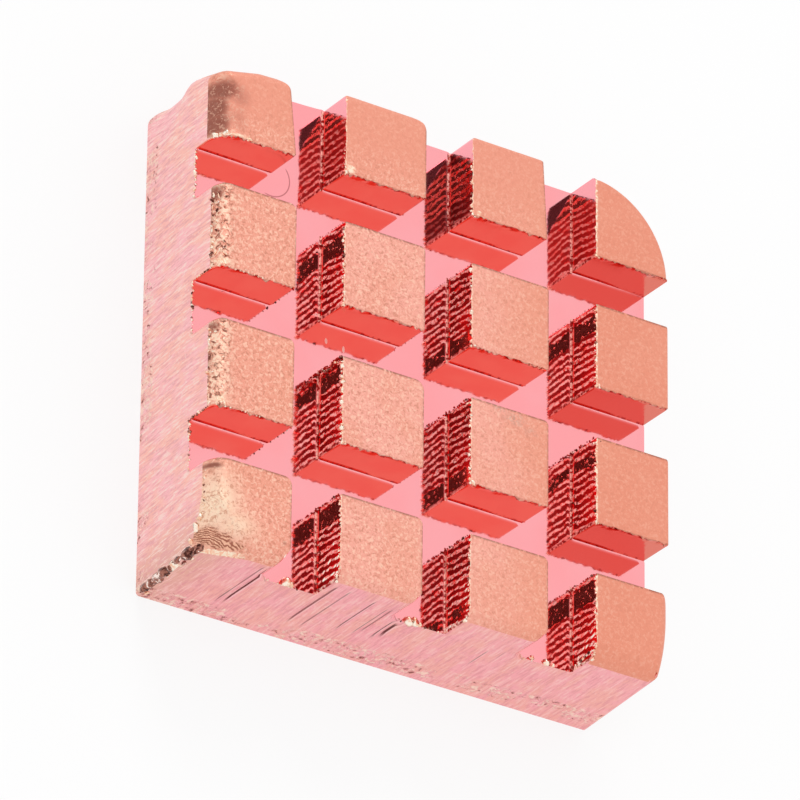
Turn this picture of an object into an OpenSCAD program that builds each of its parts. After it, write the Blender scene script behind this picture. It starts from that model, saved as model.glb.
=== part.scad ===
// Pin fin heat sink. One solid copper block: a thick square base with a grid of short square
// pins on it, left standing by straight channels milled across the block both ways.
// Millimetres, +Z up, the way the pins point. The underside lies on z = 0 and the block is
// centred on the origin. Columns of pins are counted from the left (-X), rows from the
// front (-Y). The outer edges are worn round, the inner ones are left sharp by the cutter.

/* [Block] */
// Width along X
block_x = 15; // [10:0.5:24]
// Depth along Y, at the right-hand side
block_y = 15; // [10:0.5:24]
// Thickness of the base under the channels
base_t = 2.8; // [1.5:0.1:6]
// How much less deep the left side is, because the back is sawn out of square there
back_skew = 0.25; // [0.05:0.05:0.6]
// How far the left side leans in at the underside
left_lean = 0.17; // [0.05:0.01:0.3]

/* [Pins] */
// Number of columns, along X
columns = 4; // [2:1:6]
// Number of rows, along Y
rows = 4; // [2:1:6]
// Height of the pins above the channel floors
pin_h = 1.2; // [0.8:0.1:4]
// Radius of the front right upright edge of the inner pins
pin_edge_r = 0.06; // [0.03:0.01:0.15]

/* [Channels] */
// Width of each channel, which is the cutter's diameter
channel_w = 1.6; // [0.8:0.1:2]
// Fillet that the cutter's worn tip leaves at the foot of each wall
foot_r = 0.08; // [0.04:0.01:0.2]

/* [Upright corners of the block] */
// Radius of the back right corner, ground well round
back_right_r = 2.5; // [0.6:0.1:2.6]
// Radius of the back left corner
back_left_r = 0.5; // [0.2:0.1:1.2]
// Radius of the front left corner
front_left_r = 0.12; // [0.1:0.02:0.4]
// Radius of the front right corner at the underside
front_right_r = 0.14; // [0.1:0.02:0.4]
// Length of the right side that sweeps in to the front right corner
sweep_l = 1.9; // [1:0.1:2.4]
// How far that sweep comes in at the top of the corner
sweep_in = 0.3; // [0.1:0.05:0.5]
// How much of it is lost again at the underside
sweep_lean = 0.25; // [0:0.05:0.4]

/* [Worn edges] */
// Depth of the hollow rubbed into the back left corner
hollow = 0.13; // [0.05:0.01:0.3]
// Radius of that hollow, seen from the side
hollow_r = 2.2; // [1.5:0.1:4]
// Drop of the crushed front left corner below the pin tops
crush = 0.75; // [0.4:0.05:0.9]
// Slope of that crushed facet, in degrees
crush_slope = 35; // [25:1:50]
// Round on the top edge of the back right corner's arc, and beside it
arc_round = 0.15; // [0.05:0.05:0.4]

/* [Hidden] */
copper = [0.86, 0.53, 0.44];
$fn = 64;
slack = 0.5;                        // how far a cutting shape runs past the surface it leaves
block_h = base_t + pin_h;
pin_x = (block_x - (columns - 1) * channel_w) / columns;
pin_y = (block_y - (rows - 1) * channel_w) / rows;
left = -block_x / 2;
right = block_x / 2;
front = -block_y / 2;
back = block_y / 2;

// Radius of the round worn on the outer top edge of each pin along a side
left_round = [0.6, 0.36, 0.42, 0.7];            // front row first
right_round = [0.3, 0.08, 0.08, arc_round];     // front row first
front_round = [0.55, 0.32, 0.3, 0.5];           // left column first
back_round = [0.3, 0.18, arc_round, arc_round]; // left column first

// Radius of the back right upright edge of each pin, left column first
back_edge_r = [
    [0.20, 0.18, 0.18, 0.30],               // front row
    [0.15, 0.25, 0.12, 0.12],
    [0.18, 0.12, 0.10, 0.10],
    [0.45, 0.30, 0.08, 0.08]                // back row
];

// Radius of the front right upright edge of each pin in the front row, left column first
front_edge_r = [0.40, 0.35, 0.50];

// Lists are held at their last value on a longer side, so more pins can be asked for
function along(list, i) = list[min(i, len(list) - 1)];
function column_x(i) = left + i * (pin_x + channel_w);
function row_y(j) = front + j * (pin_y + channel_w);

// The back side slopes behind the left column and is square from the first channel on
arc_x = right - back_right_r;
skew_x = left + pin_x + channel_w / 2;
back_slope = back_skew / (skew_x - left);
function back_y(x) = back - back_slope * max(0, skew_x - x);

// A round worn on an edge is a little flatter than a true quarter circle and meets the two
// faces at a slight angle. It starts r in from the edge on both, and its centre lies crown
// times as far in, so its own radius is a little larger than r.
crown = 1.06;
function worn_r(r) = r * norm([crown, crown - 1]);

// What is cut from an edge to round it: the edge runs along +X from the origin and the
// metal lies on the +Y and -Z sides of it.
module edge_round(r, length) {
    difference() {
        translate([0, -slack, -r]) cube([length, r + slack, r + slack]);
        translate([-slack, crown * r, -crown * r]) rotate([0, 90, 0])
            cylinder(r = worn_r(r), h = length + 2 * slack);
    }
}

// What is cut from an upright edge to round it: the edge stands on the origin and the metal
// lies on the -X and -Y sides of it.
module upright_round(r, height) {
    difference() {
        translate([-r, -r, 0]) cube([r + slack, r + slack, height]);
        translate([-crown * r, -crown * r, -slack])
            cylinder(r = worn_r(r), h = height + 2 * slack);
    }
}

// The four upright corners of the block, over its whole height
module block_corners() {
    height = block_h + 2 * slack;
    translate([right, back, -slack]) upright_round(back_right_r, height);
    translate([left, back_y(left), -slack]) rotate([0, 0, 90])
        upright_round(back_left_r, height);
    translate([left, front, -slack]) rotate([0, 0, 180]) upright_round(front_left_r, height);
    translate([right, front, -slack]) rotate([0, 0, -90]) upright_round(front_right_r, height);
}

// The block before milling, with the back sawn a little out of square
module blank() {
    difference() {
        linear_extrude(block_h)
            polygon([
                [left, front], [right, front], [right, back], [skew_x, back],
                [left, back_y(left)]
            ]);
        block_corners();
    }
}

// One straight channel along +X, its middle on the X axis and its floor at z = 0, with a
// fillet at the foot of each wall
module channel(length) {
    half = channel_w / 2;
    union() {
        translate([0, -half, foot_r]) cube([length, channel_w, pin_h + slack]);
        translate([0, foot_r - half, 0]) cube([length, channel_w - 2 * foot_r, pin_h]);
        for (side = [-1, 1])
            translate([0, side * (half - foot_r), foot_r])
                rotate([0, 90, 0]) cylinder(r = foot_r, h = length);
    }
}

module channels() {
    for (j = [0 : rows - 2])
        translate([left - slack, row_y(j) + pin_y + channel_w / 2, base_t])
            channel(block_x + 2 * slack);
    for (i = [0 : columns - 2])
        translate([column_x(i) + pin_x + channel_w / 2, front - slack, base_t])
            rotate([0, 0, 90]) channel(block_y + 2 * slack);
}

// The upright edges on the right of each pin, from the channel floor up. Those on the left
// keep the cutter's sharp edge.
module pin_edges() {
    height = pin_h + slack;
    for (i = [0 : columns - 1], j = [0 : rows - 1]) {
        at_back = j == rows - 1;
        at_right = i == columns - 1;
        edge_x = column_x(i) + pin_x;
        if (!(at_back && at_right))
            translate([edge_x, at_back ? back_y(edge_x) : row_y(j) + pin_y, base_t])
                upright_round(along(along(back_edge_r, j), i), height);
        if (!(j == 0 && at_right))
            translate([edge_x, row_y(j), base_t]) mirror([0, 1, 0])
                upright_round(j == 0 ? along(front_edge_r, i) : pin_edge_r, height);
    }
}

// The outer top edges, each pin worn to its own radius. A cut ends in the channels beside
// its pin, short of the next pin's.
module outer_edges() {
    overrun = channel_w / 3;
    for (j = [0 : rows - 1]) {
        translate([left, row_y(j) + pin_y + overrun, block_h]) rotate([0, 0, -90])
            edge_round(along(left_round, j), pin_y + 2 * overrun);
        translate([right, row_y(j) - overrun, block_h]) rotate([0, 0, 90])
            edge_round(along(right_round, j), pin_y + 2 * overrun);
    }
    for (i = [0 : columns - 1]) {
        translate([column_x(i) - overrun, front, block_h])
            edge_round(along(front_round, i), pin_x + 2 * overrun);
        strip_end = min(column_x(i) + pin_x + overrun, arc_x);
        translate([strip_end, back_y(strip_end), block_h])
            rotate([0, 0, 180 + (i == 0 ? atan(back_slope) : 0)])
                edge_round(along(back_round, i), strip_end - column_x(i) + overrun);
    }
    arc_ring();
}

// The same round along the top of the back right corner's arc
module arc_ring() {
    translate([right - crown * back_right_r, back - crown * back_right_r, block_h])
        rotate_extrude(angle = 90)
            translate([worn_r(back_right_r), 0]) difference() {
                translate([-arc_round, -arc_round]) square(arc_round + slack);
                translate([-crown * arc_round, -crown * arc_round]) circle(worn_r(arc_round));
            }
}

// The right side sweeps in to the front corner in a wide arc, more at the top than below
module corner_sweep() {
    r = (sweep_l * sweep_l + sweep_in * sweep_in) / (2 * sweep_in);
    lean = atan(sweep_lean / block_h);
    translate([right, front + sweep_l, block_h])
        difference() {
            translate([-sweep_l, -sweep_l - slack, -block_h - slack])
                cube([sweep_l + slack, sweep_l + slack, block_h + 2 * slack]);
            rotate([0, -lean, 0]) translate([-r, 0, -block_h - 3 * slack])
                cylinder(r = r, h = block_h + 6 * slack, $fn = 200);
        }
}

// The left side leans in below the channels, down to the underside
module side_lean() {
    lean_h = base_t - 0.2;
    lean = left_lean * (lean_h + slack) / lean_h;
    rotate([90, 0, 0])
        linear_extrude(block_y + 2 * slack, center = true)
            polygon([
                [left, lean_h], [left + lean, -slack], [left - slack, -slack],
                [left - slack, lean_h]
            ]);
}

// A shallow hollow rubbed across the back left corner, half way up the base
module corner_hollow() {
    rounded_off = sqrt(2) * crown * back_left_r - worn_r(back_left_r);
    translate([left, back_y(left), base_t / 2]) rotate([0, 0, 45])
        translate([-2 * slack, hollow_r - rounded_off - hollow, 0]) rotate([0, 90, 0])
            cylinder(r = hollow_r, h = 4 * slack);
}

// The front left corner of the pins is crushed to a facet that rises towards their middle
module corner_crush() {
    reach = 6 * crush;
    translate([left, front, block_h - crush]) rotate([0, 0, 45]) rotate([0, -crush_slope, 0])
        translate([-reach / 2, -reach / 2, 0]) cube(reach);
}

// The block with its channels, as it leaves the mill
module milled() {
    difference() {
        blank();
        channels();
    }
}

// The milled block with its outside edges and corners worn
module heat_sink() {
    color(copper)
        difference() {
            milled();
            pin_edges();
            outer_edges();
            corner_sweep();
            side_lean();
            corner_hollow();
            corner_crush();
        }
}

heat_sink();
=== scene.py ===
# %% [markdown]
# # A copper pin fin heat sink
# One thick square plate of copper with sixteen short square pins on top. The maker saws a
# blank, grinds it, and mills three channels one way and three the other; what is left standing
# between the channels are the pins. Everything that catches the eye is left by that work: smooth,
# mirror-like channel floors, streaked walls, ragged burrs along the edges and blunt pin tops.
# The lesson loads the exact CAD frame first, so every size below comes from it.

# %% Load the frame
import math

import bpy
import numpy as np
from mathutils import Matrix, Vector, noise


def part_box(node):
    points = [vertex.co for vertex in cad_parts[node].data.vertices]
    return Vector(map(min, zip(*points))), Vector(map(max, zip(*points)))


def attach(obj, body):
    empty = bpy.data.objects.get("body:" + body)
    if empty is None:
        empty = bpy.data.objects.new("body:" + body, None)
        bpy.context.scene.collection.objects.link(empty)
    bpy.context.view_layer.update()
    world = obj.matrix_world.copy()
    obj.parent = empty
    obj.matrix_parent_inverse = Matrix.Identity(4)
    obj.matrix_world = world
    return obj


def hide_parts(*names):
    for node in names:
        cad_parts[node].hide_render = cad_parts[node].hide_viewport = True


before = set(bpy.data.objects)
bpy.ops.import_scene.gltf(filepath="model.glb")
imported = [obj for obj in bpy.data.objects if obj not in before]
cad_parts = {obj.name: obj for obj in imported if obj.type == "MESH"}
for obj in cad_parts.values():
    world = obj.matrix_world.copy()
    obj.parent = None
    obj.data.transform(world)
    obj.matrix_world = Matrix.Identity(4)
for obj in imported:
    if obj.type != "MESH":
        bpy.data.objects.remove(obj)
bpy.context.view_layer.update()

# %% [markdown]
# ## Sizes to model by
# Blender's edit tools weld points that lie closer than a tenth of a millimetre in a metre-sized
# scene, so the sink is modelled with one unit to the millimetre and shrunk at the end. The outside
# size is read from the frame, and the floor's height and the channels' width are the CAD's own. The
# pins and channels repeat along both sides alike.

# %% Sizes
TO_MM = 1000.0
LOW, HIGH = [np.array(corner) * TO_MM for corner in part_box("heat_sink")]
LEFT, FRONT = LOW[0], LOW[1]
RIGHT, BACK, TOP = HIGH
FLOOR = 2.8
CHANNEL = 1.6
PINS = 4
PIN = (RIGHT - LEFT - (PINS - 1) * CHANNEL) / PINS
PIN_STARTS = [LEFT + k * (PIN + CHANNEL) for k in range(PINS)]
CUTS = sorted(PIN_STARTS[1:] + [start + PIN for start in PIN_STARTS[:-1]])
print("pin width", round(PIN, 3), "mm, pin height", round(TOP - FLOOR, 3), "mm")

# %% [markdown]
# ## Small helpers for picking in edit mode
# An operator works on whatever is selected. These helpers clear the selection and then pick
# edges or faces by where they lie, the way you would with box select.

# %% Picking helpers
TOUCH = 1e-4


def start_clean():
    """Leaves edit mode and selects nothing."""
    if bpy.context.mode != "OBJECT":
        bpy.ops.object.mode_set(mode="OBJECT")
    bpy.ops.object.select_all(action="DESELECT")


def edit_nothing(kind):
    """Sets what edit mode picks, with nothing picked yet, and ends in object mode."""
    if bpy.context.mode == "OBJECT":
        bpy.ops.object.mode_set(mode="EDIT")
    bpy.ops.mesh.select_mode(type=kind)
    bpy.ops.mesh.select_all(action="DESELECT")
    bpy.ops.object.mode_set(mode="OBJECT")


def points_of(mesh):
    """All points of a mesh as rows of x, y, z."""
    flat = np.empty(len(mesh.vertices) * 3)
    mesh.vertices.foreach_get("co", flat)
    return flat.reshape(-1, 3)


def pick_edges(piece, axis, wanted):
    """Selects the edges that run along an axis and whose middle passes the test."""
    edit_nothing("EDGE")
    mesh = piece.data
    ends = np.empty(len(mesh.edges) * 2, dtype=np.int64)
    mesh.edges.foreach_get("vertices", ends)
    points = points_of(mesh)
    first = points[ends[0::2]]
    second = points[ends[1::2]]
    along = np.abs(second - first)
    straight = along[:, axis] > along.sum(axis=1) - TOUCH
    picked = straight & wanted((first + second) / 2)
    mesh.edges.foreach_set("select", picked)
    bpy.ops.object.mode_set(mode="EDIT")


def pick_faces(piece, wanted):
    """Selects the faces whose centre and normal pass the test."""
    edit_nothing("FACE")
    count = 0
    for face in piece.data.polygons:
        if wanted(face.center, face.normal):
            face.select = True
            count += 1
    bpy.ops.object.mode_set(mode="EDIT")
    return count


# %% [markdown]
# ## Block out the plate and pins
# The block starts as a cube with its underside taken off. It is cut along both walls of every
# channel with bisect, and the sixteen squares that stay between the cuts are extruded up to make
# the pins. One extrude of all the squares is quicker and cleaner than sixteen joined cubes, because
# the pins and the plate are one skin, as they are on the real part.

# %% Blank, cuts and pins
start_clean()
bpy.ops.mesh.primitive_cube_add(size=1, location=(0, 0, FLOOR / 2))
sink = bpy.context.object
sink.name = "heat_sink_body"
sink.data.name = "heat_sink_body"
sink.scale = (RIGHT - LEFT, BACK - FRONT, FLOOR)
bpy.ops.object.transform_apply(location=True, rotation=False, scale=True)
pick_faces(sink, lambda centre, normal: normal.z < -0.5)
bpy.ops.mesh.delete(type="ONLY_FACE")
for place in CUTS:
    for across in ((1, 0, 0), (0, 1, 0)):
        bpy.ops.mesh.select_all(action="SELECT")
        bpy.ops.mesh.bisect(plane_co=tuple(place * a for a in across), plane_no=across)


def on_pin(value):
    """True where a coordinate lies within a pin and not in a channel."""
    inside = np.zeros(np.shape(value), dtype=bool)
    for start in PIN_STARTS:
        inside |= (value > start) & (value < start + PIN)
    return inside


squares = pick_faces(sink, lambda c, n: n.z > 0.5 and on_pin(c.x) and on_pin(c.y))
bpy.ops.mesh.extrude_region_move(TRANSFORM_OT_translate={"value": (0, 0, TOP - FLOOR)})
print("squares raised into pins:", squares)

# %% [markdown]
# ## Give the skin enough points
# Worn edges and burrs need points to move. Every strip between two cuts is subdivided along one
# axis at a time, which keeps the skin all four-sided. The same number of steps goes to every pin.

# %% Subdivide
PIN_STEPS = 40
CHANNEL_STEPS = 12
WALL_STEPS = 12
SIDE_STEPS = 16
for axis in (0, 1):
    pick_edges(sink, axis, lambda mid: on_pin(mid[:, axis]))
    bpy.ops.mesh.subdivide(number_cuts=PIN_STEPS - 1)
    pick_edges(sink, axis, lambda mid: ~on_pin(mid[:, axis]))
    bpy.ops.mesh.subdivide(number_cuts=CHANNEL_STEPS - 1)
pick_edges(sink, 2, lambda mid: mid[:, 2] > FLOOR)
bpy.ops.mesh.subdivide(number_cuts=WALL_STEPS - 1)
pick_edges(sink, 2, lambda mid: mid[:, 2] < FLOOR)
bpy.ops.mesh.subdivide(number_cuts=SIDE_STEPS - 1)
bpy.ops.object.mode_set(mode="OBJECT")
print("faces in the skin:", len(sink.data.polygons))

# %% [markdown]
# ## Close the underside
# The open edge along the bottom is drawn in a little and then closed with one flat face. The
# underside is ground flat where it meets the chip, so it needs no points inside it.

# %% Underside
UNDER_RIM = 0.12
edit_nothing("EDGE")
bpy.ops.object.mode_set(mode="EDIT")
bpy.ops.mesh.select_non_manifold(
    extend=False, use_wire=False, use_boundary=True, use_multi_face=False,
    use_non_contiguous=False, use_verts=False)
bpy.ops.mesh.extrude_edges_move()
shrink = 1 - 2 * UNDER_RIM / (RIGHT - LEFT)
bpy.ops.transform.resize(value=(shrink, shrink, 1), center_override=(0, 0, 0))
bpy.ops.mesh.edge_face_add()
bpy.ops.mesh.select_all(action="SELECT")
bpy.ops.mesh.normals_make_consistent(inside=False)
bpy.ops.object.mode_set(mode="OBJECT")
print("faces with the underside:", len(sink.data.polygons))

# %% [markdown]
# ## Sort the faces by finish
# While the skin is still square every face tells by its place which tool made it: sawn and worn
# tops, milled floors, walls cut along X or along Y, and four ground sides. The faces are given
# their material numbers now, before the shape is worn.

# %% Sort the faces
FINISHES = ["pin_top", "channel_floor", "streaked_wall", "smooth_wall", "left_side",
            "front_side", "right_side", "back_side", "underside"]


def finish_of(centre, normal):
    """The name of the finish on a face of the square skin."""
    if normal.z < -0.5:
        return "underside"
    if normal.z > 0.5:
        return "pin_top" if centre.z > (FLOOR + TOP) / 2 else "channel_floor"
    if abs(normal.x) > 0.5:
        if centre.x < LEFT + TOUCH:
            return "left_side"
        return "right_side" if centre.x > RIGHT - TOUCH else "streaked_wall"
    if centre.y < FRONT + TOUCH:
        return "front_side"
    return "back_side" if centre.y > BACK - TOUCH else "smooth_wall"


for finish in FINISHES:
    sink.data.materials.append(bpy.data.materials.new(finish))
for face in sink.data.polygons:
    face.material_index = FINISHES.index(finish_of(face.center, face.normal))
print("finishes:", len(sink.data.materials))

# %% [markdown]
# ## Gather points near the edges
# The corners are where the wear shows, so the even rows are crowded towards the edges of each
# strip. A sine added to the even spacing does that and leaves the two ends where they are.

# %% Crowd the rows
points = points_of(sink.data)
square = points.copy()


def crowd(value, start, length, amount):
    """Moves evenly spaced values towards both ends of a strip."""
    t = (value - start) / length
    inside = (t > 0) & (t < 1)
    shifted = start + length * (t - amount * np.sin(2 * np.pi * t) / (2 * np.pi))
    return np.where(inside, shifted, value)


PIN_CROWD, CHANNEL_CROWD, WALL_CROWD, SIDE_CROWD = 0.45, 0.62, 0.45, 0.50
strips = [(start, PIN, PIN_CROWD) for start in PIN_STARTS]
strips += [(start + PIN, CHANNEL, CHANNEL_CROWD) for start in PIN_STARTS[:-1]]
for axis in (0, 1):
    for start, length, amount in strips:
        points[:, axis] = crowd(points[:, axis], start, length, amount)
points[:, 2] = crowd(points[:, 2], FLOOR, TOP - FLOOR, WALL_CROWD)
points[:, 2] = crowd(points[:, 2], 0, FLOOR, SIDE_CROWD)
print("largest slide towards an edge:", round(float(np.abs(points - square).max()), 3), "mm")

# %% [markdown]
# ## Round the corners seen from above
# A square grid can be pressed into a round corner without a seam: each point of the corner square
# slides along its row and column to the place it has inside a quarter circle. The same step rounds
# the block's four upright corners and the corners of each pin.

# %% Press squares into rounds
UPRIGHT_CORNERS = {(1, 1): 2.65, (-1, 1): 0.45, (-1, -1): 0.10, (1, -1): 0.10}


def press_round(a, b):
    """Takes places in a unit corner square to the matching places in a quarter disc."""
    return a * np.sqrt(1 - b * b / 2), b * np.sqrt(1 - a * a / 2)


def round_upright(which, corner, ways, radius):
    """Rounds one upright corner of the points picked by which, and counts them."""
    a = (points[:, 0] - corner[0]) * ways[0] / radius + 1
    b = (points[:, 1] - corner[1]) * ways[1] / radius + 1
    near = which & (a > 0) & (b > 0) & (a <= 1 + TOUCH) & (b <= 1 + TOUCH)
    new_a, new_b = press_round(np.clip(a, 0, 1), np.clip(b, 0, 1))
    points[near, 0] = (corner[0] + (new_a - 1) * radius * ways[0])[near]
    points[near, 1] = (corner[1] + (new_b - 1) * radius * ways[1])[near]
    return int(near.sum())


everywhere = np.ones(len(points), dtype=bool)
pressed = 0
for ways, radius in UPRIGHT_CORNERS.items():
    corner = (RIGHT if ways[0] > 0 else LEFT, BACK if ways[1] > 0 else FRONT)
    pressed += round_upright(everywhere, corner, ways, radius)
print("points in the block's four corners:", pressed)

# %% [markdown]
# ## Round the corners of each pin
# The cutter leaves the left corners of the pins sharp and the back right ones a little round. The
# front row is worn rounder still. The tables go from the front row to the back, left column first.

# %% Pin corners
BACK_RIGHT = [[0.24, 0.20, 0.18, 0.30], [0.18, 0.28, 0.14, 0.12],
              [0.20, 0.16, 0.12, 0.10], [0.48, 0.42, 0.10, 0.0]]
FRONT_RIGHT = [[0.42, 0.38, 0.46, 0.0], [0.05] * 4, [0.05] * 4, [0.05] * 4]
BACK_LEFT = [[0.12, 0.05, 0.05, 0.05], [0.16, 0.05, 0.05, 0.05],
             [0.14, 0.05, 0.05, 0.05], [0.0, 0.12, 0.16, 0.24]]
FRONT_LEFT = [[0.0, 0.10, 0.10, 0.10], [0.10, 0.04, 0.04, 0.04],
              [0.10, 0.04, 0.04, 0.04], [0.10, 0.04, 0.04, 0.04]]


def pin_points(column, row):
    """The points that stand on or in one pin, its foot included."""
    x, y = PIN_STARTS[column], PIN_STARTS[row]
    inside = (square[:, 0] > x - TOUCH) & (square[:, 0] < x + PIN + TOUCH)
    inside &= (square[:, 1] > y - TOUCH) & (square[:, 1] < y + PIN + TOUCH)
    return inside & (square[:, 2] > FLOOR - TOUCH)


pressed = 0
for row in range(PINS):
    for column in range(PINS):
        here = pin_points(column, row)
        x, y = PIN_STARTS[column], PIN_STARTS[row]
        for table, ways in ((BACK_RIGHT, (1, 1)), (FRONT_RIGHT, (1, -1)),
                            (BACK_LEFT, (-1, 1)), (FRONT_LEFT, (-1, -1))):
            radius = table[row][column]
            if radius > 0:
                corner = (x + PIN * (ways[0] > 0), y + PIN * (ways[1] > 0))
                pressed += round_upright(here, corner, ways, radius)
print("points in the pins' corners:", pressed)

# %% [markdown]
# ## Fillet the feet
# The worn tip of the cutter leaves a small fillet where a wall meets the floor. The same rounding
# is used again, this time with distance from the wall and height above the floor.

# %% Foot fillets
FOOT_R = 0.055
RIM = 0.02
plan = points.copy()
inner = (np.abs(plan[:, 0]) < RIGHT - RIM) & (np.abs(plan[:, 1]) < BACK - RIM)


def beside(values, start):
    """How far values lie outside a pin along one axis, signed away from the pin."""
    past = np.maximum(values - start - PIN, 0)
    return np.where(values < start, values - start, past)


def facing_out(values, start):
    """-1 on the low face of a pin along one axis, 1 on its high face and 0 elsewhere."""
    low = np.abs(values - start) < TOUCH
    high = np.abs(values - start - PIN) < TOUCH
    return high.astype(float) - low


filled = 0
for row in range(PINS):
    for column in range(PINS):
        x, y = PIN_STARTS[column], PIN_STARTS[row]
        off_x, off_y = beside(plan[:, 0], x), beside(plan[:, 1], y)
        away = np.hypot(off_x, off_y)
        height = plan[:, 2] - FLOOR
        on_floor = inner & (np.abs(square[:, 2] - FLOOR) < TOUCH) & (away > TOUCH) & (away < FOOT_R)
        standing = pin_points(column, row) & inner & (height < FOOT_R) & (square[:, 2] < TOP - TOUCH)
        # a point on a wall goes straight out of that wall, and one on a corner goes out both ways
        ways_x = np.where(on_floor, off_x / np.maximum(away, TOUCH), facing_out(plan[:, 0], x))
        ways_y = np.where(on_floor, off_y / np.maximum(away, TOUCH), facing_out(plan[:, 1], y))
        picked = on_floor | standing
        distance = np.where(on_floor, away, 0.0)
        rise = np.clip(height, 0, FOOT_R)
        new_a, new_b = press_round(np.clip(1 - distance / FOOT_R, 0, 1), 1 - rise / FOOT_R)
        shift = FOOT_R * (1 - new_a) - distance
        points[picked, 0] += (shift * ways_x)[picked]
        points[picked, 1] += (shift * ways_y)[picked]
        points[picked, 2] += (FOOT_R * (1 - new_b) - height)[picked]
        filled += int(picked.sum())
print("points in the fillets:", filled)

# %% [markdown]
# ## Wear the outer top edges round
# Handling has worn the outer edges of the outer pins, each to its own radius. For every point we
# need its distance in from the outline and its depth below the top; the corner square of those
# two is pressed round in the same way as before.

# %% Worn outer edges
LEFT_WEAR = [0.62, 0.38, 0.44, 0.75]
RIGHT_WEAR = [0.30, 0.08, 0.08, 0.15]
FRONT_WEAR = [0.58, 0.34, 0.32, 0.52]
BACK_WEAR = [0.34, 0.20, 0.15, 0.15]
# a corner below this radius blends the directions of its two sides; a higher power blends it later
BLUNT, BLEND_POWER = 0.7, 6
TINY = 1e-9


def outline_distance(x, y):
    """Distance in from the block's rounded outline, and the direction straight out."""
    away_x = np.minimum(x - LEFT, RIGHT - x)
    away_y = np.minimum(y - FRONT, BACK - y)
    depth = np.minimum(away_x, away_y)
    out = np.zeros((len(x), 2))
    out[:, 0] = np.where(away_x <= away_y, np.sign(x), 0)
    out[:, 1] = np.where(away_x > away_y, np.sign(y), 0)
    for ways, radius in UPRIGHT_CORNERS.items():
        reach = max(radius, BLUNT)
        far_x = x * ways[0] - (RIGHT - reach)
        far_y = y * ways[1] - (BACK - reach)
        near = (far_x > 0) & (far_y > 0)
        in_x = x * ways[0] - (RIGHT - radius)
        in_y = y * ways[1] - (BACK - radius)
        rounded = (in_x > 0) & (in_y > 0)
        length = np.maximum(np.hypot(in_x, in_y), TINY)
        depth = np.where(rounded, radius - length, depth)
        for axis, part in ((0, in_x), (1, in_y)):
            out[:, axis] = np.where(rounded, ways[axis] * part / length, out[:, axis])
        soft = near & ~rounded & (radius < BLUNT)
        a = np.maximum(far_x, 0) ** BLEND_POWER
        b = np.maximum(far_y, 0) ** BLEND_POWER
        total = np.maximum(np.hypot(a, b), TINY)
        out[:, 0] = np.where(soft, ways[0] * a / total, out[:, 0])
        out[:, 1] = np.where(soft, ways[1] * b / total, out[:, 1])
    return depth, out


def wear_radius(x, y, out):
    """The radius worn on the outer edge nearest to a point."""
    column = np.clip(((x - LEFT) // (PIN + CHANNEL)).astype(int), 0, PINS - 1)
    row = np.clip(((y - FRONT) // (PIN + CHANNEL)).astype(int), 0, PINS - 1)
    side = np.where(out[:, 0] < 0, np.array(LEFT_WEAR)[row], np.array(RIGHT_WEAR)[row])
    end = np.where(out[:, 1] < 0, np.array(FRONT_WEAR)[column], np.array(BACK_WEAR)[column])
    share = out[:, 0] ** 2
    return side * share + end * (1 - share)


upper = square[:, 2] > FLOOR + TOUCH
depth_in, outward = outline_distance(points[:, 0], points[:, 1])
depth_in = np.maximum(depth_in, 0)
worn = wear_radius(points[:, 0], points[:, 1], outward)
below = TOP - points[:, 2]
near = upper & (depth_in < worn) & (below < worn)
new_a, new_b = press_round(np.clip(1 - depth_in / worn, 0, 1), np.clip(1 - below / worn, 0, 1))
move_in = worn * (1 - new_a) - depth_in
points[near, 0] -= (outward[:, 0] * move_in)[near]
points[near, 1] -= (outward[:, 1] * move_in)[near]
points[near, 2] = (TOP - worn * (1 - new_b))[near]
print("points on worn edges:", int(near.sum()))

# %% [markdown]
# ## Saw the back out of square
# The blank was sawn by eye: the back runs a little out of square, and the saw ran further in at the
# top of the back left pin than at the plate. Each point slides in by its share of the pin's depth,
# which keeps the faces smooth. Two pins of the back row have a right face out of square as well.

# %% Saw cut
BACK_SKEW, SKEW_FROM, SKEW_LENGTH = 0.25, -3.4, 4.1
PLATE_SHARE, PLATE_END, PIN_REACH = 0.30, 2.4, 1.4
CORNER_SKEW, CORNER_FROM, CORNER_LENGTH = 0.22, -6.0, 1.3
# column of the pin: how far in its right face starts, and how much more it has lost at the back
LEANING = {0: (0.05, 0.24), 2: (0.05, 0.15)}

at_pin = np.clip((points[:, 2] - PLATE_END) / PIN_REACH, 0, 1)
lost = BACK_SKEW * np.sqrt(np.clip((SKEW_FROM - points[:, 0]) / SKEW_LENGTH, 0, 1))
lost *= PLATE_SHARE + (1 - PLATE_SHARE) * at_pin
lost += CORNER_SKEW * np.clip((CORNER_FROM - points[:, 0]) / CORNER_LENGTH, 0, 1) * at_pin
share = np.clip((points[:, 1] - PIN_STARTS[-1]) / PIN, 0, 1)
points[:, 1] -= lost * share
for column, (begin, more) in LEANING.items():
    leaning = pin_points(column, PINS - 1)
    width = np.clip((points[:, 0] - PIN_STARTS[column]) / PIN, 0, 1)
    points[leaning, 0] -= ((begin + more * share) * width)[leaning]
print("deepest saw cut:", round(float((lost * share).max()), 3), "mm")

# %% [markdown]
# ## Sweep the right side and lean the left
# The belt that ground the right side took more off towards the front corner, and most at the top.
# The left side leans in below the channels. Both moves fade out across the outer column of pins.

# %% Sweep and lean
SWEEP_LENGTH, SWEEP_TOP, SWEEP_FOOT = 1.9, 0.32, 0.03
LEFT_LEAN, LEAN_FROM = 0.17, FLOOR - 0.2

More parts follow.
